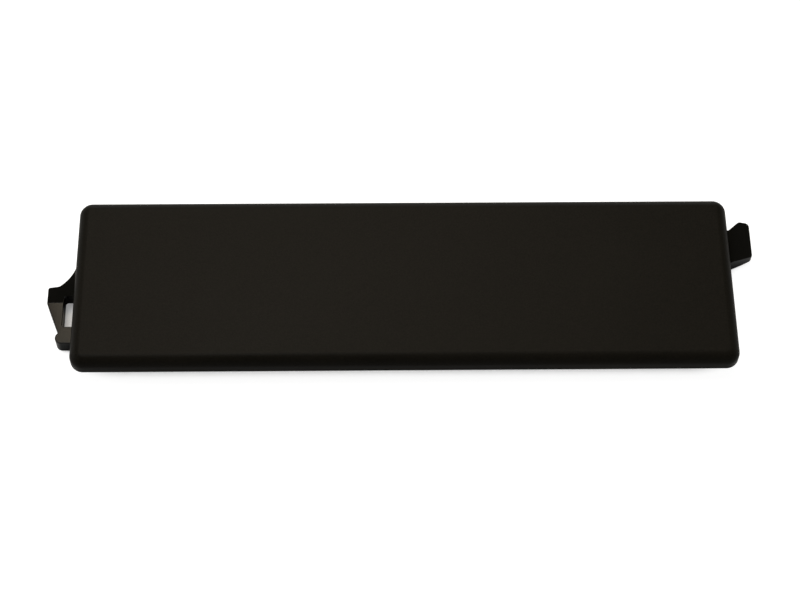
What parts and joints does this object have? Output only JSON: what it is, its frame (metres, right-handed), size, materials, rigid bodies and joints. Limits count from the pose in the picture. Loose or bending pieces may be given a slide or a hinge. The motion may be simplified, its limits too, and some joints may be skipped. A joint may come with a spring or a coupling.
{
  "type": "drive bay blank filler",
  "caption": "Flat one-piece black plastic cover for an empty half-height drive bay, with rolled edges, a hollow ribbed back, a sprung side latch on the left and a fixed side hook on the right.",
  "frame": {"origin": "centre of the panel in the plane of the rear frame's rim, which the filler rests on when it lies face up", "axes": "+Z outwards from the front face, +X to the right seen from the front, +Y towards the top edge as installed"},
  "size_m": [0.1606, 0.042, 0.009],
  "materials": {
    "black_abs": "fine spark-eroded matte texture on the face, smoother on the clips and the back"
  },
  "bodies": {
    "root": {"filler_panel": "black_abs"}
  },
  "joints": []
}
